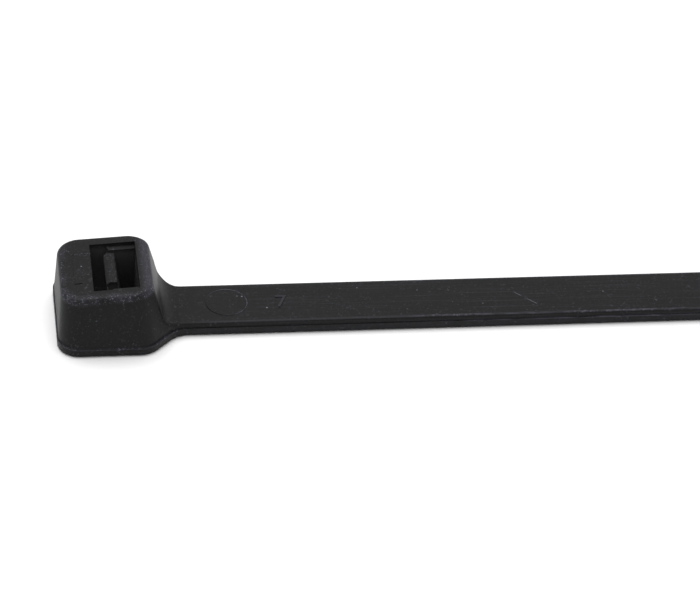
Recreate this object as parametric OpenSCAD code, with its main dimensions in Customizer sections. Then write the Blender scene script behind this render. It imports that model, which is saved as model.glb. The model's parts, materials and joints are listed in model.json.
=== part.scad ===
// Self-locking cable tie, moulded in one piece, millimetres.
// Origin: centre of the slot in the head, on the flat underside.
// +X runs along the strap to its tail, +Z is the way the tail leaves the head.

/* [Strap] */
// Overall length, from the head's outer end to the tip of the tail
tie_l = 200; // [120:1:380]
// Width over the two side rails
strap_w = 8; // [6.2:0.1:9.2]
// Thickness of the strap
strap_t = 1.8; // [1.5:0.05:2.2]
// Height of the mould's parting line above the underside
parting_z = 1.1; // [0.9:0.05:1.35]
// How far each side steps in above the parting line
parting_step = 0.12; // [0.05:0.01:0.3]
// Radius along the strap's upper edges
strap_edge_r = 0.3; // [0.1:0.05:0.4]

/* [Ratchet teeth] */
// Distance from one tooth to the next
tooth_pitch = 1.25; // [1:0.05:1.6]
// Height of a tooth
tooth_h = 0.6; // [0.45:0.05:0.75]
// How far the tips of the teeth stay inside the rails
tooth_inset = 0.1; // [0.05:0.01:0.15]
// Flat on the tip of a tooth
tooth_land = 0.22; // [0.1:0.02:0.35]
// Width of the smooth rail on each side of the teeth
rail_w = 0.95; // [0.5:0.05:1.2]
// Plain strap between the neck and the first tooth
plain_l = 13; // [8:0.5:20]

/* [Tail] */
// Length of the toothless tail
tail_l = 27; // [18:1:36]
// Width at the tip of the tail
tail_tip_w = 4.4; // [3:0.1:5]
// Thickness at the tip of the tail
tail_tip_t = 1.15; // [0.9:0.05:1.3]
// Radius of the tip's corners
tail_r = 1.5; // [0.8:0.1:1.9]
// Number of grip ridges across the tail
grips = 7; // [3:1:9]
// Distance between grip ridges
grip_pitch = 1.9; // [1.4:0.1:2.2]
// Height of a grip ridge
grip_h = 0.22; // [0.1:0.02:0.3]

/* [Head] */
// Height of the head over the middle of the slot
head_h = 8.15; // [7.2:0.05:10]
// Slope of the top face, which rises towards the strap
top_slope = 4.2; // [0:0.1:6]
// Wall at the outer end of the slot, at the top
outer_wall = 4; // [2.5:0.1:5]
// Wall between the slot and the strap side, at the top
strap_wall = 1.6; // [1.2:0.1:2.2]
// Wall on each side of the slot, at the top
side_wall = 1.6; // [1.3:0.1:2.4]
// Draft of the two sides
side_draft = 9.9; // [4:0.1:12]
// Draft of the outer end
end_draft = 2.6; // [1:0.1:6]
// Lean of the strap-side face
strap_face_lean = 15; // [8:0.5:20]
// Radius of the upright corners
corner_r = 2.7; // [1.5:0.1:3.2]
// Radius round the top face
top_edge_r = 0.55; // [0.2:0.05:0.8]
// Radius round the underside, of head, neck and strap alike
base_edge_r = 0.3; // [0.1:0.05:0.6]
// How far the foot below the parting line stands proud
foot_step = 0.12; // [0.05:0.01:0.25]

/* [Neck] */
// Where the shoulders meet the sides of the strap, from the slot's centre
neck_x = 7.5; // [6.8:0.1:9]
// Cut-back of the shoulders at the top face
shoulder_cut = 1.45; // [0.8:0.05:2]
// Radius in plan where a shoulder runs into the strap
shoulder_r = 3; // [1.5:0.1:4]
// Radius where the strap-side face runs into the strap
neck_r = 2.6; // [1:0.1:3.2]

/* [Slot and pawl] */
// Gap at each side of a strap in the slot
slot_side_gap = 0.69; // [0.4:0.01:1.2]
// How deep the pawl reaches into the teeth of a strap in the slot
pawl_bite = 0.24; // [0.1:0.02:0.4]
// Thickness of the pawl at its tip
pawl_t = 1.4; // [1.2:0.05:1.7]
// Space behind the pawl's tip, for it to spring back
spring_gap = 2.7; // [2:0.05:3.2]
// Lean of the pawl towards the strap side
pawl_lean = 9; // [5:0.5:10]
// Gap between the pawl and the rails on each side
pawl_side_gap = 0.1; // [0.05:0.01:0.2]
// Height of the pawl's teeth
pawl_tooth_h = 0.4; // [0.3:0.02:0.5]
// Number of teeth on the pawl
pawl_teeth = 3; // [2:1:4]
// Depth of the pawl's tip below the top face
pawl_drop = 0.2; // [0.1:0.05:0.5]
// Thickness of the pawl at its hinge
hinge_t = 0.95; // [0.7:0.05:1.15]
// Height of the web that carries the pawl
web_h = 1.5; // [1:0.1:1.8]
// Gap between the pawl and the cheeks beside it
cheek_gap = 0.95; // [0.5:0.05:1]
// Depth of the cheeks' ledges below the top face
ledge_drop = 0.5; // [0.3:0.05:0.9]
// Widening of the slot at its entrance
lead_in = 0.5; // [0.2:0.05:0.7]

/* [Moulding marks] */
// Diameter of the ejector pin's mark
pin_d = 5.25; // [3:0.05:6]
// Distance of the pin mark from the slot's centre
pin_x = 14.15; // [12:0.05:30]
// Height of the pin mark
pin_h = 0.06; // [0.02:0.01:0.12]

/* [Hidden] */
$fn = 32;

nylon = [0.17, 0.17, 0.175];
sliver = 0.01;
over = 1;
arc_steps = 8;

slot_x = strap_t - pawl_bite + pawl_t + spring_gap;
slot_y = strap_w + 2 * slot_side_gap;
track_w = strap_w - 2 * rail_w;
pawl_w = track_w - 2 * pawl_side_gap;
pocket_y = pawl_w + 2 * cheek_gap;

top_w = slot_y + 2 * side_wall;
foot_w = top_w + 2 * (head_h - parting_z) * tan(side_draft);
top_x0 = -slot_x / 2 - outer_wall;
top_x1 = slot_x / 2 + strap_wall;
foot_x0 = top_x0 - (head_h - parting_z) * tan(end_draft);
// The shoulders are 45 degree lines on which X plus Y makes these sums
shoulder_foot = neck_x + strap_w / 2;
shoulder_top = top_x1 + top_w / 2 - shoulder_cut;
shoulder_y = foot_w / 2 - corner_r * tan(45 / 2) * sin(45);
// The strap-side face leans from face_top, under the rounded rim, to the parting line
rim_depth = 1.2 * top_edge_r;
face_top = [top_x1, top_z(top_x1) - rim_depth];
foot_x1 = face_x(parting_z);
neck_top = strap_t + neck_r;
face_foot = [face_x(strap_t), strap_t];

tail_x1 = foot_x0 + tie_l;
tail_x0 = tail_x1 - tail_l;
teeth_x0 = neck_x + plain_l;
teeth_n = floor((tail_x0 - teeth_x0) / tooth_pitch);
tooth_floor = tooth_inset + tooth_h;

pawl_top = head_h - pawl_drop;
pawl_x0 = -slot_x / 2 + strap_t - pawl_bite;
pawl_face = pawl_x0 + pawl_tooth_h;

// Height of the sloping top face over a place along the strap
function top_z(x) = head_h + x * tan(top_slope);

// Place of the strap-side face at height z
function face_x(z) = top_x1 + (face_top.y - z) * tan(strap_face_lean);

// X plus Y along a shoulder at height z
function shoulder_sum(z) =
    shoulder_foot + (shoulder_top - shoulder_foot) * (z - parting_z) / (face_top.y - parting_z);

// Place of the leaning pawl's line that passes x at the tip, at height z
function leaning(x, z) = x + (pawl_top - z) * tan(pawl_lean);

function unit(v) = v / norm(v);

// Points of an arc of radius r that is tangent to the lines p-a and p-b
function corner_arc(a, p, b, r) =
    let (u = unit(a - p),
         v = unit(b - p),
         half = acos(u * v) / 2,
         centre = p + unit(u + v) * r / sin(half),
         start = p + u * r / tan(half) - centre,
         end = p + v * r / tan(half) - centre,
         from = atan2(start.y, start.x),
         turn = (atan2(end.y, end.x) - from + 540) % 360 - 180)
    [for (i = [0:arc_steps])
        centre + r * [cos(from + turn * i / arc_steps), sin(from + turn * i / arc_steps)]];

function mirrored(points) = [for (i = [len(points) - 1:-1:0]) [points[i].x, -points[i].y]];

// A profile drawn in X and Z, made w wide across the strap
module across(w) {
    translate([0, w / 2, 0]) rotate([90, 0, 0]) linear_extrude(w) children();
}

// A section drawn in Y and Z, drawn out along the strap from x0 to x1
module along(x0, x1) {
    translate([x0, 0, 0]) rotate([90, 0, 90]) linear_extrude(x1 - x0) children();
}

// Outline of the head in plan: square at the outer end, with shoulders cut
// back at 45 degrees towards the strap
module head_outline(x0, x1, w, strap_side_w, face_r, inset = 0) {
    outer = [x0, -w / 2];
    shoulder = [x1 - (w - strap_side_w) / 2, -w / 2];
    face = [x1, -strap_side_w / 2];
    half = concat(corner_arc([x0, 0], outer, shoulder, corner_r),
                  corner_arc(outer, shoulder, face, corner_r),
                  corner_arc(shoulder, face, [x1, 0], face_r));
    offset(delta = -inset) polygon(concat(half, mirrored(half)));
}

// Outline where the head meets its foot. The shoulders run on inside the strap.
module foot_outline(inset = 0) {
    head_outline(foot_x0 - foot_step, neck_x + strap_w / 4, foot_w + 2 * foot_step,
                 strap_w / 2 + 4 * foot_step, base_edge_r, inset);
}

// The same place in the drafted block, whose strap side is the leaning face
module block_outline() {
    head_outline(foot_x0, foot_x1, foot_w, 2 * (shoulder_foot - foot_x1), base_edge_r);
}

module top_outline(inset) {
    head_outline(top_x0, top_x1, top_w, top_w - 2 * shoulder_cut, corner_r, inset);
}

// Drafted block above the parting line, rounded over at the top. The round
// between each shoulder and the strap-side face dies out at the neck.
module head_block() {
    edge = [face_x(neck_top), shoulder_sum(neck_top) - face_x(neck_top)];
    hull() {
        translate([0, 0, parting_z / 2]) linear_extrude(parting_z / 2) block_outline();
        translate([0, -edge.y, parting_z]) cube([edge.x, 2 * edge.y, neck_top - parting_z]);
        translate([0, 0, head_h]) rotate([0, -top_slope, 0])
            for (a = [0:90 / 4:90])
                translate([0, 0, -rim_depth])
                    linear_extrude(rim_depth - top_edge_r * (1 - sin(a)))
                        top_outline(top_edge_r * (1 - cos(a)));
    }
}

// Foot below the parting line, rounded over at the bottom
module head_foot() {
    hull()
        for (a = [0:90 / 3:90])
            translate([0, 0, base_edge_r * (1 - sin(a))])
                linear_extrude(parting_z - base_edge_r * (1 - sin(a)))
                    foot_outline(base_edge_r * (1 - cos(a)));
}

// Plan of the neck: two shoulders that run round into sides a given distance
// from the centre line. They start where the head's rounded corners end.
module neck_outline(side_y, grow = 0) {
    meet = shoulder_foot + 2 * grow;
    side = corner_arc([meet - shoulder_y, -shoulder_y], [meet - side_y, -side_y],
                      [2 * meet, -side_y], shoulder_r);
    outline = concat([[slot_x / 2, -shoulder_y], [meet - shoulder_y, -shoulder_y]], side);
    polygon(concat(outline, mirrored(outline)));
}

// The neck leans in a little faster than the head's shoulders, and so dies
// out in them
module neck() {
    rise = neck_top - parting_z;
    taper = 1.1 * (shoulder_foot - shoulder_sum(neck_top)) / rise / shoulder_y;
    chamfer = base_edge_r * (2 - sqrt(2));
    translate([0, 0, chamfer]) rotate([180, 0, 0])
        linear_extrude(chamfer, scale = [1, 1 - chamfer / shoulder_y], slices = 1)
            neck_outline(strap_w / 2, foot_step);
    translate([0, 0, chamfer]) linear_extrude(parting_z - chamfer) neck_outline(strap_w / 2, foot_step);
    translate([0, 0, parting_z])
        linear_extrude(rise, scale = [1, 1 - taper * rise], slices = 1)
            neck_outline(strap_w / 2 - parting_step);
}

// Everything over the strap-side face and the strap itself, which is cut away
module over_strap() {
    far = neck_x + 4 * shoulder_r;
    high = face_top.y + over;
    across(foot_w + 2 * over)
        polygon(concat([[top_x1 + over / 4, high], face_top],
                       corner_arc(face_top, face_foot, [far, strap_t], neck_r),
                       [[far, strap_t], [far, high]]));
}

// The slot: a passage for the strap, and a narrower pocket behind the pawl
module slot() {
    ledge_x = pawl_x0 + pawl_t / 2;
    pocket_cut = (slot_y - pocket_y) / 2 / 2;
    web_x = leaning(pawl_face, web_h);
    passage = [[-slot_x / 2, slot_y / 2], [ledge_x - pocket_cut / 2, slot_y / 2],
               [ledge_x + pocket_cut / 2, pocket_y / 2], [slot_x / 2, pocket_y / 2]];
    high = face_top.y + over;
    translate([0, 0, web_h]) linear_extrude(high) polygon(concat(passage, mirrored(passage)));
    translate([-slot_x / 2, -slot_y / 2, -over]) cube([web_x + slot_x / 2, slot_y, web_h + 2 * over]);
    translate([0, 0, head_h]) rotate([0, -top_slope, 0])
        translate([-slot_x / 2, -slot_y / 2, -ledge_drop]) cube([slot_x, slot_y, high]);
    across(slot_y)
        polygon([[-slot_x / 2 - lead_in, -sliver], [-slot_x / 2, 2 * lead_in],
                 [web_x, lead_in], [web_x + lead_in / 2, -sliver]]);
}

// Pawl with its own teeth, springing from the web at the slot's entrance
module pawl() {
    tip = pawl_top - pawl_tooth_h;
    low = tip - pawl_teeth * tooth_pitch;
    teeth = [for (i = [0:pawl_teeth - 1]) let (z0 = low + i * tooth_pitch, z1 = z0 + tooth_pitch)
        each [[leaning(pawl_face, z0), z0], [leaning(pawl_x0, z1), z1]]];
    across(pawl_w)
        polygon(concat([[leaning(pawl_face, web_h), web_h - over / 2]],
                       teeth,
                       [[pawl_face + pawl_tooth_h / 3, pawl_top], [pawl_x0 + pawl_t, pawl_top],
                        [leaning(pawl_x0 + pawl_t, (web_h + pawl_top) / 2), (web_h + pawl_top) / 2],
                        [leaning(pawl_face, web_h) + hinge_t, web_h + hinge_t],
                        [leaning(pawl_face, web_h) + 1.3 * hinge_t, web_h - over / 2]]));
}

module head() {
    difference() {
        union() {
            head_block();
            head_foot();
            neck();
        }
        over_strap();
        slot();
    }
    pawl();
}

// Section of the strap: the upper half steps in at the parting line
module strap_section() {
    low = strap_w / 2;
    high = low - parting_step;
    edge = corner_arc([high, parting_z], [high, strap_t], [0, strap_t], strap_edge_r);
    base = corner_arc([0, 0], [low, 0], [low, parting_z], base_edge_r);
    side = concat(base, [[low, parting_z], [high, parting_z]], edge);
    polygon(concat(side, [for (i = [len(side) - 1:-1:0]) [-side[i].x, side[i].y]]));
}

// Plan of the strap, which narrows to a round tip
module strap_outline() {
    tip = corner_arc([tail_x0, -strap_w / 2], [tail_x1, -tail_tip_w / 2],
                     [tail_x1, 0], tail_r);
    side = concat([[slot_x / 2, -strap_w], [tail_x0, -strap_w], [tail_x0, -strap_w / 2]], tip);
    polygon(concat(side, mirrored(side)));
}

// Side view of the strap: the tail thins out and has grip ridges on top
module strap_profile() {
    slope = (strap_t - tail_tip_t) / tail_l;
    function tail_z(x) = strap_t - (x - tail_x0) * slope;
    grip_x0 = tail_x1 - tail_r - grips * grip_pitch;
    ridges = [for (i = [0:grips - 1]) let (x = grip_x0 + i * grip_pitch)
        each [[x, tail_z(x)], [x + grip_pitch / 4, tail_z(x) + grip_h],
              [x + grip_pitch / 2, tail_z(x) + grip_h], [x + grip_pitch * 3 / 4, tail_z(x)]]];
    polygon(concat([[slot_x / 2, -over], [slot_x / 2, strap_t + over], [tail_x0, strap_t + over],
                    [tail_x0, strap_t]], ridges,
                   [[tail_x1 + over, tail_z(tail_x1 + over)], [tail_x1 + over, -over]]));
}

// The row of ratchet teeth, as the space that is left between them
module tooth_track() {
    teeth = [for (i = [0:teeth_n - 1]) let (x = teeth_x0 + i * tooth_pitch)
        each [[x, tooth_floor], [x, tooth_inset], [x + tooth_land, tooth_inset],
              [x + tooth_pitch - tooth_land, tooth_floor]]];
    across(track_w)
        polygon(concat([[teeth_x0 - tooth_pitch, -over], [teeth_x0 - tooth_pitch, tooth_floor]], teeth,
                       [[teeth_x0 + teeth_n * tooth_pitch, tooth_floor],
                        [teeth_x0 + teeth_n * tooth_pitch, -over]]));
}

module strap() {
    difference() {
        intersection() {
            along(slot_x / 2 + over / 2, tail_x1 + over) strap_section();
            linear_extrude(strap_t + over) strap_outline();
            across(strap_w + 2 * over) strap_profile();
        }
        tooth_track();
    }
}

module pin_mark() {
    translate([pin_x, 0, strap_t / 2]) cylinder(d = pin_d, h = strap_t / 2 + pin_h, $fn = 48);
}

module tie_moulding() {
    color(nylon) {
        head();
        strap();
        pin_mark();
    }
}

tie_moulding();
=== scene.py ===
import json
import math

import bpy
from mathutils import Matrix, Vector

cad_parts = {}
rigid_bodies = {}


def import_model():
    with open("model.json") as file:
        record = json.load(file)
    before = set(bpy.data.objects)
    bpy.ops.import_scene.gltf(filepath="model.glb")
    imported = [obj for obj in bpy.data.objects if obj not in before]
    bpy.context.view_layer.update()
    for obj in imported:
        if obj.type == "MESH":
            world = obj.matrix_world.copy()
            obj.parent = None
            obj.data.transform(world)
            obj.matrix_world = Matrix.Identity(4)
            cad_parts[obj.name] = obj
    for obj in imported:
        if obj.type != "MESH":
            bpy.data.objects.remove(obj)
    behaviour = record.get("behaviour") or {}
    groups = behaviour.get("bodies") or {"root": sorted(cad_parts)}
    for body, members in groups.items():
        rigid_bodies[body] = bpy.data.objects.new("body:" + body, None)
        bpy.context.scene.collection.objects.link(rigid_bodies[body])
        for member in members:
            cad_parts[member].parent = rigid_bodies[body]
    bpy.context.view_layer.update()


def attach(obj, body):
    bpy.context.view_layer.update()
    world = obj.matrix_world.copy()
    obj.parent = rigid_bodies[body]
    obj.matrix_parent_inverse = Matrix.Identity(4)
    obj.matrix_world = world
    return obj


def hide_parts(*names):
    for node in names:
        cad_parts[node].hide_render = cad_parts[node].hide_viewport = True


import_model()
mm = 0.001

# Sizes are in millimetres and angles in degrees, in the frame of the CAD part:
# origin under the middle of the slot, +X along the strap, +Z up through the slot.

spare = 1                # extra on a block that is cut to size
clear = 12               # well over the head, and past its sides
facing = 0.9             # a face looks along an axis when its normal has this much of it
loose = 0.03             # slack where sloping faces meet


def tilt(angle):
    return math.tan(math.radians(angle))


def near(value, target, slack=0.02):
    return abs(value - target) < slack


def deselectAll():
    if bpy.context.object and bpy.context.object.mode != "OBJECT":
        bpy.ops.object.mode_set(mode="OBJECT")
    bpy.ops.object.select_all(action="DESELECT")


def activate(piece):
    deselectAll()
    piece.select_set(True)
    bpy.context.view_layer.objects.active = piece


def addBlock(name, low, high):
    deselectAll()
    centre = [(a + b) / 2 * mm for a, b in zip(low, high)]
    bpy.ops.mesh.primitive_cube_add(size=1, location=centre)
    block = bpy.context.object
    block.name = name
    block.scale = [(b - a) * mm for a, b in zip(low, high)]
    bpy.ops.object.transform_apply(location=True, rotation=True, scale=True)
    return block


def addProfile(name, outline, halfWidth):
    # A side view in X and Z, drawn on a filled circle and pulled out across the strap
    deselectAll()
    bpy.ops.mesh.primitive_circle_add(vertices=len(outline), radius=mm, fill_type="NGON")
    piece = bpy.context.object
    piece.name = name
    for vertex, (x, z) in zip(piece.data.vertices, outline):
        vertex.co = (x * mm, -halfWidth * mm, z * mm)
    bpy.ops.object.mode_set(mode="EDIT")
    bpy.ops.mesh.select_all(action="SELECT")
    bpy.ops.mesh.extrude_region_move(
        TRANSFORM_OT_translate={"value": (0, 2 * halfWidth * mm, 0)})
    bpy.ops.mesh.select_all(action="SELECT")
    bpy.ops.mesh.normals_make_consistent(inside=False)
    bpy.ops.object.mode_set(mode="OBJECT")
    return piece


def cutAway(piece, point, normal):
    # Cuts away what lies on the normal's side and closes the cut
    activate(piece)
    bpy.ops.object.mode_set(mode="EDIT")
    bpy.ops.mesh.select_all(action="SELECT")
    bpy.ops.mesh.bisect(plane_co=[v * mm for v in point], plane_no=normal,
                        use_fill=True, clear_outer=True, threshold=0.0001 * mm)
    bpy.ops.object.mode_set(mode="OBJECT")


def edgeEnds(piece):
    for edge in piece.data.edges:
        a, b = (piece.data.vertices[i].co / mm for i in edge.vertices)
        yield edge, a, b


def bevelEdges(piece, test, width, segments):
    activate(piece)
    bpy.ops.object.mode_set(mode="EDIT")
    bpy.ops.mesh.select_mode(type="EDGE")
    bpy.ops.mesh.select_all(action="DESELECT")
    bpy.ops.object.mode_set(mode="OBJECT")
    for edge, a, b in edgeEnds(piece):
        edge.select = test(a, b)
    bpy.ops.object.mode_set(mode="EDIT")
    bpy.ops.mesh.bevel(offset=width * mm, segments=segments, affect="EDGES", clamp_overlap=True)
    bpy.ops.object.mode_set(mode="OBJECT")


def pickFaces(piece, test):
    # Leaves the faces that pass the test selected, in edit mode
    activate(piece)
    bpy.ops.object.mode_set(mode="EDIT")
    bpy.ops.mesh.select_mode(type="FACE")
    bpy.ops.mesh.select_all(action="DESELECT")
    bpy.ops.object.mode_set(mode="OBJECT")
    for face in piece.data.polygons:
        face.select = test(face)
    bpy.ops.object.mode_set(mode="EDIT")


def tidyMesh(piece, merge=0.002, flat=0.4):
    # Joins points closer than merge, and faces that turn less than flat degrees
    activate(piece)
    bpy.ops.object.mode_set(mode="EDIT")
    bpy.ops.mesh.select_mode(type="VERT")
    bpy.ops.mesh.select_all(action="SELECT")
    bpy.ops.mesh.remove_doubles(threshold=merge * mm)
    bpy.ops.mesh.dissolve_limited(angle_limit=math.radians(flat))
    bpy.ops.mesh.normals_make_consistent(inside=False)
    bpy.ops.object.mode_set(mode="OBJECT")


def combine(piece, tool, how):
    activate(piece)
    joint = piece.modifiers.new(how.lower(), "BOOLEAN")
    joint.operation = how
    joint.solver = "EXACT"
    joint.object = tool
    bpy.ops.object.modifier_apply(modifier=joint.name)
    bpy.data.objects.remove(tool)


def repeatRow(piece, count, step):
    activate(piece)
    row = piece.modifiers.new("row", "ARRAY")
    row.count = count
    row.use_relative_offset = False
    row.use_constant_offset = True
    row.constant_offset_displace = [v * mm for v in step]
    bpy.ops.object.modifier_apply(modifier=row.name)


def roundWeighted(piece, rules, width, segments):
    # Rounds each edge that a rule picks by its own share of the full width
    weights = piece.data.attributes.new("bevel_weight_edge", "FLOAT", "EDGE")
    for edge, a, b in edgeEnds(piece):
        for test, size in rules:
            if test(a, b):
                weights.data[edge.index].value = size / width
                break
    activate(piece)
    rounder = piece.modifiers.new("round", "BEVEL")
    rounder.limit_method = "WEIGHT"
    rounder.width = width * mm
    rounder.segments = segments
    rounder.use_clamp_overlap = False
    bpy.ops.object.modifier_apply(modifier=rounder.name)


strap = {
    "end": 192.85,          # tip of the tail
    "width": 8,
    "thickness": 1.8,
    "partingHeight": 1.1,   # where the two mould halves met
    "partingStep": 0.12,
    "sunk": 0.6,            # the upper half reaches this far into the lower one
    "topRound": 0.3,
    "bottomRound": 0.16,
    "bottomSteps": 4,
    "stubEnd": 12,          # the neck ends in a stub, which is pulled out into the strap
    "tailLength": 27,
    "tipWidth": 4.4,
    "tipThickness": 1.15,
    "tipRadius": 1.5,
    "tipSteps": 10,
    "tipRim": 2,            # this much of the tip's end is rounded right across
}

head = {
    "height": 8.149,
    "topSlope": 4.2,        # rises towards the strap
    "topHalfWidth": 6.29,
    "topEnd": -6.83,        # outer end, at the top
    "topStrapSide": 4.43,
    "sideDraft": 9.9,
    "endDraft": 2.6,
    "faceLean": 15,
    "cornerRadius": 2.7,
    "cornerSteps": 12,
    "sideSteps": 6,
    "topRound": 0.55,
    "topSteps": 6,
    "footStep": 0.12,
    "shoulderTop": 9.17,    # X plus Y along a shoulder, at the top
    "shoulderFoot": 11.5,   # the same at the parting line
    "shoulderRadius": 3.0,
    "shoulderSteps": 8,
    "faceRadius": 2.2,      # between shoulder and strap-side face, at the top
    "faceSteps": 6,
    "neckRadius": 2.6,
    "neckSteps": 12,
    "faceStart": 5,         # beyond this the roof has ended
}

# The crease under a leaning shoulder is lowered, to make room for the rim's round
crease = {"from": 6.9, "to": 7.8, "outside": 4.1, "drop": 0.45}


def topHeight(x):
    return head["height"] + x * tilt(head["topSlope"])


partingToTop = head["height"] - strap["partingHeight"]
footHalfWidth = head["topHalfWidth"] + partingToTop * tilt(head["sideDraft"])
footEnd = head["topEnd"] - partingToTop * tilt(head["endDraft"])
upperHalf = strap["width"] / 2 - strap["partingStep"]
lowerHalf = strap["width"] / 2
tailStart = strap["end"] - strap["tailLength"]


def pullEnd(piece, distance, narrower=1):
    # Pulls the face at the strap's end out along the strap
    end = max(vertex.co.x for vertex in piece.data.vertices) / mm
    pickFaces(piece, lambda face: face.normal.x > facing and near(face.center.x / mm, end))
    bpy.ops.mesh.extrude_region_move(TRANSFORM_OT_translate={"value": (distance * mm, 0, 0)})
    bpy.ops.transform.resize(value=(1, narrower, 1))
    bpy.ops.object.mode_set(mode="OBJECT")


def drawStrap(piece, high, tip, tipHigh):
    # The stub behind the neck becomes the strap, and its end the thinner tail
    pullEnd(piece, tailStart - strap["stubEnd"])
    pullEnd(piece, tip - tailStart, strap["tipWidth"] / strap["width"])
    for vertex in piece.data.vertices:
        if near(vertex.co.x / mm, tip) and near(vertex.co.z / mm, high):
            vertex.co.z = tipHigh * mm
    bevelEdges(piece, lambda a, b: near(a.x, tip) and near(b.x, tip) and near(a.y, b.y),
               strap["tipRadius"], strap["tipSteps"])


def shapeHeadCorners(piece):
    # The outer corners are round in plan, and each side runs round into its shoulder
    radius = head["cornerRadius"]

    def isOuter(a, b):
        return not near(a.z, b.z) and max(a.x, b.x) < footEnd + 0.6

    def isShoulder(a, b):
        return (not near(a.z, b.z) and 1.5 < min(a.x, b.x) < 5
                and min(abs(a.y), abs(b.y)) > head["topHalfWidth"] - 0.5)

    bevelEdges(piece, isOuter, radius, head["cornerSteps"])
    bevelEdges(piece, isShoulder, radius * tilt(45 / 2), head["sideSteps"])


def shapeNeck(block, halfWidth, meet):
    # The shoulders stop at the strap's width, and run round into its sides
    x = meet - halfWidth
    cutAway(block, (x, 0, 0), (1, 0, 0))
    pullEnd(block, strap["stubEnd"] - x)
    bevelEdges(block, lambda a, b: near(a.x, x) and near(b.x, x) and not near(a.z, b.z),
               head["shoulderRadius"] * tilt(45 / 2), head["shoulderSteps"])


# Upper mould half: a drafted block whose strap side is cut away down to the strap
def makeUpperHalf():
    base = strap["partingHeight"]
    thick = strap["thickness"]
    faceTop = topHeight(head["topStrapSide"])
    lean = tilt(head["faceLean"])
    faceFoot = head["topStrapSide"] + (faceTop - thick) * lean
    neckTop = thick + head["neckRadius"]
    meet = head["shoulderFoot"] - strap["partingStep"]
    shoulderLean = (meet - head["shoulderTop"]) / (faceTop - thick)

    block = addBlock("upper", (footEnd - spare, -footHalfWidth - spare, base - strap["sunk"]),
                     (meet + spare, footHalfWidth + spare, clear))
    for side in (-1, 1):
        cutAway(block, (0, side * footHalfWidth, base), (0, side, tilt(head["sideDraft"])))
        cutAway(block, (meet, 0, thick), (1, side, 0))
        cutAway(block, (meet, 0, thick), (1, side, shoulderLean))
    cutAway(block, (footEnd, 0, base), (-1, 0, tilt(head["endDraft"])))
    cutAway(block, (0, 0, head["height"]), (-tilt(head["topSlope"]), 0, 1))
    shapeHeadCorners(block)
    shapeNeck(block, upperHalf, meet)

    beyond = 40              # past the end of the stub
    cutter = addProfile("overStrap", [(faceFoot - (clear - thick) * lean, clear),
                                      (faceFoot, thick), (beyond, thick), (beyond, clear)], clear)
    tangent = head["neckRadius"] * tilt((90 - head["faceLean"]) / 2)
    bevelEdges(cutter, lambda a, b: near(a.x, faceFoot) and near(b.x, faceFoot),
               tangent, head["neckSteps"])
    cutLine = sorted({(round(v.co.x / mm, 4), round(v.co.z / mm, 4))
                      for v in cutter.data.vertices})
    combine(block, cutter, "DIFFERENCE")
    tidyMesh(block, merge=0.065)     # the cut leaves short edges, which a round can't pass
    for vertex in block.data.vertices:
        x, y, z = vertex.co / mm
        if (near(z, thick) and crease["from"] < x < crease["to"]
                and abs(y) > crease["outside"]):
            vertex.co.z -= crease["drop"] * mm

    # The round between shoulder and face narrows downwards and ends at the neck. Each
    # wedge takes one flat of it off the corner.
    radius = head["faceRadius"]
    low = neckTop + 0.02
    cornerTop = Vector((head["topStrapSide"], head["shoulderTop"] - head["topStrapSide"]))
    drop = faceTop - low
    cornerLow = cornerTop + Vector((drop * lean, drop * (shoulderLean - lean)))
    centre = cornerTop - radius * Vector((1, tilt(45 / 2)))
    for step in range(1, head["faceSteps"]):
        angle = math.radians(45 * step / head["faceSteps"])
        out = Vector((math.cos(angle), math.sin(angle)))
        fall = (cornerLow.dot(out) - centre.dot(out) - radius) / drop
        for side in (-1, 1):
            wedge = addBlock("wedge", (2, 5 * side - 4, neckTop), (8, 5 * side + 4, clear))
            cutAway(wedge, (cornerLow.x, side * cornerLow.y, low), (-out.x, -side * out.y, -fall))
            combine(block, wedge, "DIFFERENCE")
    tidyMesh(block)
    drawStrap(block, thick, strap["end"] - strap["partingStep"], strap["tipThickness"])

    def heightOverStrap(x):
        if x > tailStart:
            thinner = (thick - strap["tipThickness"]) / strap["tailLength"]
            return thick - (x - tailStart) * thinner
        for (x0, z0), (x1, z1) in zip(cutLine, cutLine[1:]):
            if x0 <= x <= x1 and z1 < clear:
                return z0 + (z1 - z0) * (x - x0) / (x1 - x0)
        return thick

    def onTop(v):
        return near(v.z, topHeight(v.x), loose) and v.x < head["faceStart"]

    def onStrap(v):
        return (v.z < neckTop + loose and v.x > head["faceStart"]
                and near(v.z, heightOverStrap(v.x), loose))

    def isRim(a, b):
        # Not an edge that runs straight across the strap, unless it is the tip's
        return not near(a.y, -b.y, 0.5) or min(a.x, b.x) > strap["end"] - strap["tipRim"]

    rules = [
        (lambda a, b: onTop(a) and onTop(b), head["topRound"]),
        (lambda a, b: onStrap(a) and onStrap(b) and isRim(a, b), strap["topRound"]),
    ]
    roundWeighted(block, rules, head["topRound"], head["topSteps"])
    print("upper half:", len(block.data.polygons), "faces")
    return block


# Lower mould half: the foot that stands a little proud, and the strap's rails
def makeLowerHalf():
    step = head["footStep"]
    top = strap["partingHeight"]
    meet = head["shoulderFoot"] + 2 * step
    block = addBlock("lower", (footEnd - step, -footHalfWidth - step, 0),
                     (meet + spare, footHalfWidth + step, top))
    for side in (-1, 1):
        cutAway(block, (meet, 0, 0), (1, side, 0))
    shapeHeadCorners(block)
    shapeNeck(block, lowerHalf, meet)
    drawStrap(block, top, strap["end"], top)
    tidyMesh(block)
    roundWeighted(block, [(lambda a, b: near(a.z, 0) and near(b.z, 0), strap["bottomRound"])],
                  strap["bottomRound"], strap["bottomSteps"])
    print("lower half:", len(block.data.polygons), "faces")
    return block


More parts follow.
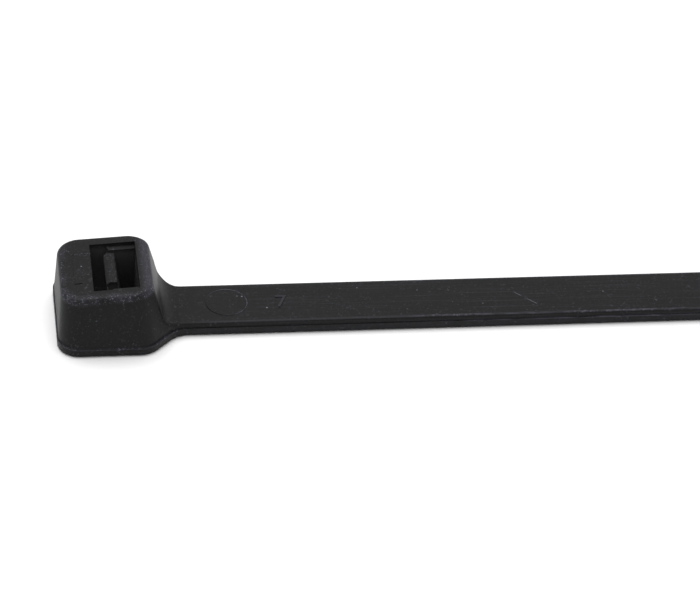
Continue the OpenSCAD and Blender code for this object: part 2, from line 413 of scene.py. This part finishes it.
slot = {
    "halfLength": 2.83,
    "halfWidth": 4.69,
    "pocketHalfWidth": 3.9,
    "pocketRound": 0.6,
    "pocketSteps": 6,
    "ledgeStart": -0.74,
    "ledgeEnd": -0.41,
    "ledgeDrop": 0.5,
    "webHeight": 1.5,
    "webEdge": 0.15,
    "leadIn": 0.5,
    "entranceTop": 1.7,     # a little over the web
}


def makeSlotCutter():
    half = slot["halfLength"]
    wide = slot["halfWidth"]
    web = slot["webHeight"]
    passage = addBlock("passage", (-half, -wide, -spare), (slot["ledgeEnd"], wide, clear))
    inward = wide - slot["pocketHalfWidth"]
    along = slot["ledgeEnd"] - slot["ledgeStart"]
    for side in (-1, 1):
        cutAway(passage, (slot["ledgeStart"], side * wide, 0), (inward, side * along, 0))

    pocket = addBlock("pocket", (slot["ledgeStart"] - 0.3, -slot["pocketHalfWidth"], web),
                      (half, slot["pocketHalfWidth"], clear))
    bevelEdges(pocket, lambda a, b: near(a.z, web) and near(b.z, web)
               and near(a.x, half) and near(b.x, half), slot["pocketRound"], slot["pocketSteps"])
    combine(passage, pocket, "UNION")

    drop = slot["ledgeDrop"]
    recess = [(-half, topHeight(-half) - drop), (half, topHeight(half) - drop),
              (half, clear), (-half, clear)]
    combine(passage, addProfile("recess", recess, wide), "UNION")

    under = -0.01            # just past the underside
    edge = slot["webEdge"]
    lead = slot["leadIn"]
    high = slot["entranceTop"]
    entrance = [(-half - lead, under), (-half, 2 * lead), (-half, high), (edge, high),
                (edge, lead), (edge + lead / 2, under)]
    combine(passage, addProfile("entrance", entrance, wide), "UNION")
    tidyMesh(passage)
    return passage


teeth = {
    "start": 20.5,
    "pitch": 1.25,
    "height": 0.6,
    "inset": 0.1,           # tips stay this far inside the rails
    "land": 0.22,
    "tipRound": 0.05,
    "trackWidth": 6.1,
    "overlap": 0.1,         # each tooth reaches this far into the strap
}

pawl = {
    "halfWidth": 2.95,
    "tip": -1.27,
    "thickness": 1.4,
    "top": 7.95,
    "backDrop": 0.04,       # its top slopes this much to the back
    "lean": 9,
    "toothHeight": 0.4,
    "teeth": 3,
    "hinge": 0.95,
    "hingeFlare": 0.3,
    "root": 0.4,            # reaches this far into the web
    "edgeRound": 0.07,
}


def makePawl():
    def leaning(x, z):
        return x + (pawl["top"] - z) * tilt(pawl["lean"])

    tip = pawl["tip"]
    top = pawl["top"]
    pitch = teeth["pitch"]
    face = tip + pawl["toothHeight"]
    back = tip + pawl["thickness"]
    web = slot["webHeight"]
    foot = web - pawl["root"]
    low = top - pawl["toothHeight"] - pawl["teeth"] * pitch
    middle = (web + top) / 2
    hinge = leaning(face, web) + pawl["hinge"]

    outline = [(leaning(face, web), foot)]
    for tooth in range(pawl["teeth"]):
        bottom = low + tooth * pitch
        outline += [(leaning(face, bottom), bottom), (leaning(tip, bottom + pitch), bottom + pitch)]
    outline += [(face + pawl["toothHeight"] / 3, top), (back, top - pawl["backDrop"]),
                (leaning(back, middle), middle), (hinge, web + pawl["hinge"]),
                (hinge + pawl["hingeFlare"], foot)]
    piece = addProfile("pawl", outline, pawl["halfWidth"])
    bevelEdges(piece, lambda a, b: near(a.x, b.x) and near(a.z, b.z) and a.z > top - 0.6,
               pawl["edgeRound"], 3)
    return piece


def makeTeeth():
    # A straight track is cut first, then one tooth is repeated along its floor
    inset = teeth["inset"]
    pitch = teeth["pitch"]
    land = teeth["land"]
    wide = teeth["trackWidth"] / 2
    floor = inset + teeth["height"]
    root = floor + teeth["overlap"]
    count = int((tailStart - teeth["start"]) / pitch)
    x0 = teeth["start"] - pitch
    track = addBlock("track", (x0, -wide, -spare), (x0 + (count + 1) * pitch, wide, floor))
    x = teeth["start"]
    tooth = addProfile("tooth", [(x, root), (x, inset), (x + land, inset),
                                 (x + pitch - land, root)], wide + teeth["overlap"])
    bevelEdges(tooth, lambda a, b: near(a.z, inset) and near(b.z, inset) and near(a.x, b.x),
               teeth["tipRound"], 2)
    repeatRow(tooth, count, (pitch, 0, 0))
    print("teeth:", count)
    return track, tooth


grips = {
    "count": 7,
    "pitch": 1.9,
    "height": 0.2,
    "round": 0.06,
    "sunk": 0.3,
    "inset": 0.25,          # from the tail's sides
}


def makeGrips():
    # One ridge, repeated down the sloping tail and cut to the tail's outline
    pitch = grips["pitch"]
    slope = (strap["thickness"] - strap["tipThickness"]) / strap["tailLength"]
    first = strap["end"] - strap["tipRadius"] - grips["count"] * pitch
    foot = strap["thickness"] - (first - tailStart) * slope
    top = foot + grips["height"]
    low = foot - grips["sunk"]
    ridge = addProfile("grips", [(first, low), (first, foot), (first + pitch / 4, top),
                                 (first + pitch / 2, top), (first + pitch * 3 / 4, foot),
                                 (first + pitch * 3 / 4, low)], strap["width"] / 2)
    bevelEdges(ridge, lambda a, b: near(a.x, b.x) and near(a.z, b.z) and a.z > foot + 0.1,
               grips["round"], 2)
    repeatRow(ridge, grips["count"], (pitch, 0, -pitch * slope))
    taper = (strap["width"] - strap["tipWidth"]) / 2 / strap["tailLength"]
    for side in (-1, 1):
        cutAway(ridge, (tailStart, side * (upperHalf - grips["inset"]), 0), (taper, side, 0))
    return ridge


pinMark = {
    "x": 14.15,
    "y": 0.18,
    "radius": 2.63,
    "height": 0.03,
    "flash": 0.08,          # width of the thin line round it
    "flashHeight": 0.035,
    "depth": 0.6,
    "corners": 96,
}


def makePinMark():
    deselectAll()
    top = strap["thickness"] + pinMark["height"]
    place = (pinMark["x"], pinMark["y"], top - pinMark["depth"] / 2)
    bpy.ops.mesh.primitive_cylinder_add(vertices=pinMark["corners"], radius=pinMark["radius"] * mm,
                                        depth=pinMark["depth"] * mm,
                                        location=[v * mm for v in place])
    disc = bpy.context.object
    disc.name = "pinMark"
    bpy.ops.object.transform_apply(location=True, rotation=True, scale=True)
    pickFaces(disc, lambda face: face.normal.z > facing)
    bpy.ops.mesh.inset(thickness=pinMark["flash"] * 0.4 * mm)
    bpy.ops.transform.translate(value=(0, 0, pinMark["flashHeight"] * mm))
    bpy.ops.mesh.inset(thickness=pinMark["flash"] * 0.4 * mm)
    bpy.ops.mesh.inset(thickness=pinMark["flash"] * 0.5 * mm)
    bpy.ops.transform.translate(value=(0, 0, -pinMark["flashHeight"] * mm))
    bpy.ops.object.mode_set(mode="OBJECT")
    return disc


cavityFigure = {
    "text": "7",
    "x": 20.35,
    "y": -1.1,
    "tall": 2.3,
    "height": 0.1,
    "depth": 0.4,
}


def makeFigure():
    # A raised cavity number, made a mesh before its place is applied
    deselectAll()
    bpy.ops.object.text_add(location=(0, 0, 0))
    figure = bpy.context.object
    figure.name = "cavityFigure"
    figure.data.body = cavityFigure["text"]
    figure.data.extrude = 0.2
    figure.data.resolution_u = 3
    bpy.ops.object.convert(target="MESH")
    figure = bpy.context.object
    left = min(v.co.x for v in figure.data.vertices)
    foot = min(v.co.y for v in figure.data.vertices)
    tall = max(v.co.y for v in figure.data.vertices) - foot
    size = cavityFigure["tall"] / tall
    top = strap["thickness"] + cavityFigure["height"]
    for vertex in figure.data.vertices:
        down = 0 if vertex.co.z > 0 else cavityFigure["depth"]
        vertex.co = ((cavityFigure["x"] + (vertex.co.x - left) * size) * mm,
                     (cavityFigure["y"] + (vertex.co.y - foot) * size) * mm, (top - down) * mm)
    tidyMesh(figure)
    return figure


insertLine = {
    "x": -5.1,
    "halfWidth": 2.95,
    "width": 0.08,
    "depth": 0.04,
    "dashLength": 1.0,
    "dashDepth": 0.14,
    "blockLow": 7,          # the blocks start below the roof, before their floors follow it
}


def makeInsertLines():
    # Shallow joint lines that the mould's pawl insert left on the head's top
    x = insertLine["x"]
    half = insertLine["halfWidth"]
    wide = insertLine["width"]
    deep = insertLine["depth"]
    # Their ends and floors differ a little, so that no two of their faces lie in one plane
    grooves = [(x, -half, x + wide, half, deep),
               (x + 0.02, half - wide, -slot["halfLength"] + 0.2, half + 0.01, deep * 0.85),
               (x + 0.04, -half - wide, x + insertLine["dashLength"], -half + wide,
                insertLine["dashDepth"])]
    low = insertLine["blockLow"]
    blocks = []
    for x0, y0, x1, y1, depth in grooves:
        block = addBlock("insertLine", (x0, y0, low), (x1, y1, clear))
        for vertex in block.data.vertices:
            if near(vertex.co.z / mm, low):
                vertex.co.z = (topHeight(vertex.co.x / mm) - depth) * mm
        blocks.append(block)
    return blocks


tie = makeUpperHalf()
combine(tie, makeLowerHalf(), "UNION")
tie.name = "cableTie"
print("body:", len(tie.data.polygons), "faces")

combine(tie, makeSlotCutter(), "DIFFERENCE")
combine(tie, makePawl(), "UNION")
print("slot and pawl:", len(tie.data.polygons), "faces")

track, tooth = makeTeeth()
combine(tie, track, "DIFFERENCE")
combine(tie, tooth, "UNION")
combine(tie, makeGrips(), "UNION")
combine(tie, makePinMark(), "UNION")
combine(tie, makeFigure(), "UNION")
for block in makeInsertLines():
    combine(tie, block, "DIFFERENCE")
tidyMesh(tie)
print("whole tie:", len(tie.data.polygons), "faces")

smoothAngle = 28
activate(tie)
bpy.ops.object.shade_smooth_by_angle(angle=math.radians(smoothAngle))


finish = {
    "black": (0.0082, 0.0082, 0.0083, 1),
    "frost": (0.17, 0.17, 0.22, 1),     # stress-whitened nylon
    "paintedSlotLight": (0.05, 0.05, 0.05, 1),     # painted light inside the slot, lifting its shade
    "specular": 0.105,
    "roughness": 0.42,
    "frostRougher": 0.3,
    "streakRougher": 0.1,
    "speckScale": 3.6,                  # scales are in noise cells to the millimetre
    "gritScale": 9.36,
    "gritShare": 0.7,
    "pointScale": 6.5,
    "patchScale": 0.42,
    "patchShare": 0.34,
    "streakStretch": (0.07, 5.5, 5.5),
    "scuffStretch": (0.5, 3.0, 3.0),
    "frostStart": 0.62,
    "frostFull": 0.95,
    "frostShare": 0.46,
    "mottle": 0.02,
    "grainScale": 14.0,
    "grain": 0.6,
    "patchBump": 0.25,
    "frostBump": 0.4,
    "bump": 0.35,
    "bumpHeight": 0.03,
}

# Where each kind of wear and of painted light starts and where it is full: along is X, across is Y,
# up is Z, and out is how far a point lies outside the outline of the head's top
wearAndPaintedLight = {
    "rimUnder": (1.05, 0.5),            # below the roof
    "rimOut": (-1.25, -0.35),
    "rimAcross": (6.4, 3.2),            # least at the back
    "backOut": (-0.8, -0.2),
    "strapSideAlong": (2.6, 4.0),
    "strapSideOut": (-1.9, -0.8),
    "roofOut": (0.0, -0.3),
    "frontAcross": (-5.9, -6.3),
    "frontUp": (0.6, 1.2),
    "leftEndAlong": (-6.6, -6.9),
    "footLineAlong": (9.5, 6.0),
    "strapAlong": (9.0, 15.0),
    "strapTopUp": (1.6, 1.72),
    "topEdgeAlong": (8.0, 14.0),
    "topEdgeFarAlong": (10.0, 55.0),
    "topEdgeUp": (1.45, 1.62),
    "lowEdgeAlong": (30.0, 62.0),
    "lowEdgeAcross": (3.7, 3.86),
    "lowEdgeOver": (0.98, 1.04),
    "lowEdgeUnder": (1.2, 1.12),
    "lowSideAlong": (7.0, 10.0),
    "lowSideAcross": (3.6, 3.9),
    "lowSideUp": (1.1, 1.0),
    "slotUp": (8.0, 6.8),
    "ringHighlightTurn": (-2.5, 0.8),            # the ring's painted highlight fades at its lower left
}

# Stretches of the strap whose edges are worn most: from, to, and how softly they end
wornStretches = [(38.0, 45.5, 2.0), (58.0, 68.0, 4.0), (88.0, 97.0, 4.0), (120.0, 150.0, 9.0)]

# How much more frost a place gathers, added to the noise that makes the specks
moreFrost = {
    "rim": 0.11, "strapSide": 0.13, "roof": 0.01, "leftEnd": 0.035, "insertSide": 0.17,
    "footLine": 0.15, "topEdge": 0.2, "lowEdge": 0.12,
}
lessFrost = {"strap": 0.03, "front": 0.018}

# How pale a place is at most, where 1 is the frost's own colour
pallor = {
    "rim": 0.07, "strapSide": 0.13, "footLine": 0.08, "lowSide": 0.035, "lowEdge": 0.32,
    "topEdge": 0.06, "topEdgeFar": 0.22, "topEdgeWorn": 0.14, "streaks": 0.055,
    "points": 0.7, "leftEndPoints": 0.6, "back": 0.45,
    "scratch": 0.6, "hairs": 0.1, "ringHighlight": 0.42, "figure": 0.1, "flecks": 0.95,
}

scratchMark = {
    "x": 52.214,
    "y": -0.572,
    "direction": (0.716, -0.697),
    "length": (1.95, 1.7),              # fades between these, from its middle
    "width": (0.07, 0.01),
}

# Bright flecks on the strap and the roof: X, Y and radius
flecks = [(19.13, -1.1, 0.15), (-4.06, 0.5, 0.12), (15.6, 1.35, 0.1), (16.2, 1.25, 0.14),
          (46.6, -1.45, 0.09), (38.6, 1.6, 0.09), (31.0, 2.4, 0.1), (62.5, 0.3, 0.1)]


def addNode(tree, kind, inputs, **settings):
    # Each input is a number or colour, or another node's output
    node = tree.nodes.new("ShaderNode" + kind)
    for name, value in settings.items():
        setattr(node, name, value)
    for name, value in inputs.items():
        if isinstance(value, bpy.types.NodeSocket):
            tree.links.new(value, node.inputs[name])
        else:
            node.inputs[name].default_value = value
    return node


def makeNylon():
    nylon = bpy.data.materials.new("blackNylon")
    nylon.use_nodes = True
    tree = nylon.node_tree
    shader = tree.nodes["Principled BSDF"]
    shader.inputs["Specular IOR Level"].default_value = finish["specular"]

    def calc(how, a, b=0.0):
        return addNode(tree, "Math", {0: a, 1: b}, operation=how).outputs[0]

    def plus(a, b):
        return calc("ADD", a, b)

    def minus(a, b):
        return calc("SUBTRACT", a, b)

    def times(*parts):
        product = parts[0]
        for part in parts[1:]:
            product = calc("MULTIPLY", product, part)
        return product

    def most(*parts):
        result = parts[0]
        for part in parts[1:]:
            result = calc("MAXIMUM", result, part)
        return result

    def ramp(value, limits):
        # 0 before the first limit, 1 after the second, which may be the smaller one
        start, full = limits
        before, after = (1.0, 0.0) if full < start else (0.0, 1.0)
        node = addNode(tree, "MapRange", {"Value": value, "From Min": min(limits),
                                          "From Max": max(limits), "To Min": before,
                                          "To Max": after}, interpolation_type="SMOOTHSTEP")
        return node.outputs["Result"]

    def between(value, low, high, soft):
        return times(ramp(value, (low - soft, low)), ramp(value, (high + soft, high)))

    place = addNode(tree, "TexCoord", {}).outputs["Object"]
    point = addNode(tree, "VectorMath", {0: place, "Scale": 1 / mm}, operation="SCALE").outputs[0]
    split = addNode(tree, "SeparateXYZ", {0: point})
    x, y, z = split.outputs[0], split.outputs[1], split.outputs[2]
    side = calc("ABSOLUTE", y)
    plan = addNode(tree, "CombineXYZ", {0: x, 1: y}).outputs[0]

    def noise(scale, detail=2.0, stretch=(1, 1, 1)):
        spread = addNode(tree, "Mapping", {"Vector": point, "Scale": stretch}).outputs[0]
        inputs = {"Vector": spread, "Scale": scale, "Detail": detail}
        return addNode(tree, "TexNoise", inputs).outputs[0]

    def dot(vector, offset):
        product = addNode(tree, "VectorMath", {0: point, 1: vector}, operation="DOT_PRODUCT")
        return plus(product.outputs["Value"], offset)

    def alongFrom(centreX, centreY, directionX, directionY):
        # How far a point lies from a centre, measured in one direction in plan
        return dot((directionX, directionY, 0), -centreX * directionX - centreY * directionY)

    def gapTo(spotX, spotY):
        gap = addNode(tree, "VectorMath", {0: plan, 1: (spotX, spotY, 0)}, operation="DISTANCE")
        return gap.outputs["Value"]

    # How far a point lies outside the head's top outline, less than 0 inside it
    middle = (head["topEnd"] + head["topStrapSide"]) / 2
    straightX = (head["topStrapSide"] - head["topEnd"]) / 2 - head["cornerRadius"]
    straightY = head["topHalfWidth"] - head["cornerRadius"]
    boxX = calc("MAXIMUM", minus(calc("ABSOLUTE", minus(x, middle)), straightX), 0.0)
    boxY = calc("MAXIMUM", minus(side, straightY), 0.0)
    cornerGap = calc("SQRT", plus(times(boxX, boxX), times(boxY, boxY)))
    roundBox = minus(cornerGap, head["cornerRadius"])
    shoulder = times(minus(plus(x, side), head["shoulderTop"]), math.sqrt(0.5))
    outside = calc("MAXIMUM", roundBox, shoulder)
    underRoof = dot((tilt(head["topSlope"]), 0, -1), head["height"])

    specks = noise(finish["speckScale"], 3.0)
    grit = noise(finish["gritScale"], 2.0)
    points = noise(finish["pointScale"], 0.0)
    patches = noise(finish["patchScale"], 2.0)
    streaks = noise(1.0, 4.0, finish["streakStretch"])
    scuffs = noise(1.0, 5.0, finish["scuffStretch"])

    # Frost on the rounded rim of the head's top, least at the back
    high = ramp(underRoof, wearAndPaintedLight["rimUnder"])
    rim = times(ramp(outside, wearAndPaintedLight["rimOut"]), high, ramp(y, wearAndPaintedLight["rimAcross"]))
    rim = most(rim, times(ramp(outside, wearAndPaintedLight["backOut"]), high, pallor["back"]))
    strapSide = times(ramp(x, wearAndPaintedLight["strapSideAlong"]), ramp(outside, wearAndPaintedLight["strapSideOut"]), high)
    roof = times(high, ramp(outside, wearAndPaintedLight["roofOut"]))
    front = times(ramp(y, wearAndPaintedLight["frontAcross"]), ramp(z, wearAndPaintedLight["frontUp"]))
    leftEnd = ramp(x, wearAndPaintedLight["leftEndAlong"])
    insertHalf = insertLine["halfWidth"]
    insertSide = times(between(y, insertHalf - 0.07, insertHalf + 0.1, 0.05),
                       between(x, insertLine["x"], -slot["halfLength"], 0.05), high)
    # The step round the foot gathers frost specks, and is also painted pale as a painted highlight
    # over its shade
    parting = strap["partingHeight"]
    footLine = times(between(z, parting - 0.12, parting + 0.06, 0.05),
                     ramp(x, wearAndPaintedLight["footLineAlong"]))

    # Worn lines along the strap: its top edge, and the parting step farther out
    topEdge = times(between(side, 3.5, 3.72, 0.09), ramp(z, wearAndPaintedLight["topEdgeUp"]),
                    ramp(x, wearAndPaintedLight["topEdgeAlong"]))
    lowEdge = times(ramp(z, wearAndPaintedLight["lowEdgeOver"]), ramp(z, wearAndPaintedLight["lowEdgeUnder"]),
                    ramp(side, wearAndPaintedLight["lowEdgeAcross"]), ramp(x, wearAndPaintedLight["lowEdgeAlong"]))
    lowSide = times(ramp(z, wearAndPaintedLight["lowSideUp"]), ramp(side, wearAndPaintedLight["lowSideAcross"]),
                    ramp(x, wearAndPaintedLight["lowSideAlong"]), ramp(scuffs, (0.2, 0.7)))
    worn = most(*(between(x, *stretch) for stretch in wornStretches))
    onStrap = ramp(x, wearAndPaintedLight["strapAlong"])
    strapTop = ramp(z, wearAndPaintedLight["strapTopUp"])

    # Painted light: the slot's inside is made paler below its top, standing in for light that lifts
    # its shade
    wall = 0.03              # the mask takes in the slot's walls
    inSlot = times(between(x, -slot["halfLength"] - wall, slot["halfLength"] + wall, 0.02),
                   ramp(side, (slot["halfWidth"] + wall + 0.02, slot["halfWidth"] + wall)),
                   ramp(z, wearAndPaintedLight["slotUp"]))

    more = most(times(rim, moreFrost["rim"]), times(strapSide, moreFrost["strapSide"]),
                times(roof, moreFrost["roof"]), times(leftEnd, moreFrost["leftEnd"]),
                times(insertSide, moreFrost["insertSide"]), times(footLine, moreFrost["footLine"]),
                times(topEdge, worn, moreFrost["topEdge"]), times(lowEdge, moreFrost["lowEdge"]))
    less = most(times(onStrap, lessFrost["strap"]), times(front, lessFrost["front"]))
    uneven = times(minus(patches, 0.5), finish["patchShare"])
    fine = plus(specks, times(minus(grit, 0.5), finish["gritShare"]))
    level = plus(fine, plus(minus(more, less), uneven))
    frost = ramp(level, (finish["frostStart"], finish["frostFull"]))
    pointMask = times(most(rim, strapSide, times(leftEnd, pallor["leftEndPoints"])),
                      ramp(points, (0.71, 0.79)), pallor["points"])

    # One scratch across the strap and hairlines round it
    directionX, directionY = scratchMark["direction"]
    along = alongFrom(scratchMark["x"], scratchMark["y"], directionX, directionY)
    aside = alongFrom(scratchMark["x"], scratchMark["y"], -directionY, directionX)
    scratch = times(ramp(calc("ABSOLUTE", aside), scratchMark["width"]),
                    ramp(calc("ABSOLUTE", along), scratchMark["length"]),
                    ramp(scuffs, (0.36, 0.6)), strapTop, pallor["scratch"])
    hairs = times(between(x, 43.0, 57.0, 3.0), ramp(streaks, (0.62, 0.72)), strapTop,
                  pallor["hairs"])

    # The flash line round the pin mark gets a painted highlight, faded away at its lower left
    pinGap = gapTo(pinMark["x"], pinMark["y"])
    turn = alongFrom(pinMark["x"], pinMark["y"], 0.9, 0.44)
    radius = pinMark["radius"]
    ringHighlight = times(between(pinGap, radius - pinMark["flash"], radius, 0.03), strapTop,
                 ramp(scuffs, (0.28, 0.6)), ramp(turn, wearAndPaintedLight["ringHighlightTurn"]), pallor["ringHighlight"])
    thick = strap["thickness"]
    # Painted highlight: the raised figure's top is made a little paler
    paintedFigureHighlight = times(ramp(z, (thick + 0.03, thick + 0.05)), between(x, 20, 22.5, 0.2),
                      pallor["figure"])
    fleckMasks = [times(ramp(gapTo(fleckX, fleckY), (size, size * 0.4)), pallor["flecks"])
                  for fleckX, fleckY, size in flecks]

    lines = most(times(lowSide, pallor["lowSide"]),
                 times(topEdge, ramp(scuffs, (0.3, 0.7)), ramp(x, wearAndPaintedLight["topEdgeFarAlong"]),
                       pallor["topEdgeFar"]),
                 times(topEdge, pallor["topEdge"]),
                 times(lowEdge, ramp(scuffs, (0.25, 0.7)), pallor["lowEdge"]),
                 times(topEdge, worn, ramp(scuffs, (0.35, 0.6)), pallor["topEdgeWorn"]),
                 times(rim, ramp(patches, (0.3, 0.6)), pallor["rim"]),
                 times(strapSide, pallor["strapSide"]), times(footLine, pallor["footLine"]))
    pale = most(times(frost, finish["frostShare"]), pointMask, lines, scratch, hairs, ringHighlight,
                paintedFigureHighlight, times(onStrap, ramp(streaks, (0.48, 0.75)), pallor["streaks"]),
                *fleckMasks)
    pale = plus(pale, times(ramp(specks, (0.4, 0.72)), finish["mottle"]))

    # Inputs 6 and 7 of a colour Mix node are its two colours, and output 2 is the result
    # The first mix paints light into the slot's inside, the second mixes in the frost colour
    inner = addNode(tree, "Mix", {"Factor": inSlot, 6: finish["black"], 7: finish["paintedSlotLight"]},
                    data_type="RGBA")
    colour = addNode(tree, "Mix", {"Factor": pale, 6: inner.outputs[2], 7: finish["frost"]},
                     data_type="RGBA")
    tree.links.new(colour.outputs[2], shader.inputs["Base Color"])

    gloss = plus(plus(finish["roughness"], times(pale, finish["frostRougher"])),
                 times(minus(streaks, 0.5), finish["streakRougher"]))
    tree.links.new(gloss, shader.inputs["Roughness"])

    grain = plus(times(noise(finish["grainScale"], 3.0), finish["grain"]),
                 times(patches, finish["patchBump"]))
    height = plus(grain, times(frost, finish["frostBump"]))
    bump = addNode(tree, "Bump", {"Height": height, "Strength": finish["bump"],
                                  "Distance": finish["bumpHeight"] * mm})
    tree.links.new(bump.outputs[0], shader.inputs["Normal"])
    return nylon


tie.data.materials.clear()
tie.data.materials.append(makeNylon())
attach(tie, "root")
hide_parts("tie_moulding")
print("nylon ready")


studio = {
    "azimuth": -10.5,       # the camera stands this far round from the front
    "elevation": 38.0,
    "roll": 4.89,
    "distance": 375.1,      # from the slot, along the view
    "right": 29.6,          # the slot's place in the frame, left of the middle
    "down": 2.21,
    "lens": 154.3,
    "sensor": 36,
    "nearest": 0.01,        # metres, as are the lamp's and the floor's sizes
    "room": 0.78,
    "floorSize": 8,
    "floorPlace": (0.1, 0, -0.0001),
    "floorTone": 0.93,
    "floorRoughness": 0.9,
    "lampPlace": (-0.05, 0.22, 0.88),
    "lampAim": (0.05, 0, 0),
    "lampWidth": 0.6,
    "lampPower": 5.3,
}


def makeCamera():
    a, e, r = (math.radians(studio[k]) for k in ("azimuth", "elevation", "roll"))
    right = Vector((math.cos(a), math.sin(a), 0))
    back = Vector((math.sin(a) * math.cos(e), -math.cos(a) * math.cos(e), math.sin(e)))
    right = Matrix.Rotation(r, 3, back) @ right
    up = back.cross(right)
    place = back * studio["distance"] + right * studio["right"] + up * studio["down"]
    turn = Matrix((right, up, back)).transposed().to_4x4()
    deselectAll()
    bpy.ops.object.camera_add()
    camera = bpy.context.object
    camera.name = "photoCamera"
    camera.matrix_world = Matrix.Translation(place * mm) @ turn
    camera.data.lens = studio["lens"]
    camera.data.sensor_width = studio["sensor"]
    camera.data.clip_start = studio["nearest"]
    bpy.context.scene.camera = camera


def makeFloor():
    deselectAll()
    bpy.ops.mesh.primitive_plane_add(size=studio["floorSize"], location=studio["floorPlace"])
    floor = bpy.context.object
    floor.name = "floor"
    paper = bpy.data.materials.new("paleFloor")
    paper.use_nodes = True
    paperShader = paper.node_tree.nodes["Principled BSDF"]
    tone = studio["floorTone"]
    paperShader.inputs["Base Color"].default_value = (tone, tone, tone, 1)
    paperShader.inputs["Roughness"].default_value = studio["floorRoughness"]
    floor.data.materials.append(paper)


def makeLight():
    # A plain white room and one large soft lamp overhead
    world = bpy.data.worlds.new("softRoom")
    world.use_nodes = True
    room = world.node_tree.nodes["Background"]
    room.inputs["Color"].default_value = (1, 1, 1, 1)
    room.inputs["Strength"].default_value = studio["room"]
    bpy.context.scene.world = world
    deselectAll()
    bpy.ops.object.light_add(type="AREA", location=studio["lampPlace"])
    lamp = bpy.context.object
    lamp.name = "overhead"
    aim = Vector(studio["lampAim"]) - Vector(studio["lampPlace"])
    lamp.rotation_euler = aim.to_track_quat("-Z", "Y").to_euler()
    lamp.data.size = studio["lampWidth"]
    lamp.data.energy = studio["lampPower"]
    bpy.context.scene.view_settings.view_transform = "Standard"


makeCamera()
makeFloor()
makeLight()
print("studio ready")
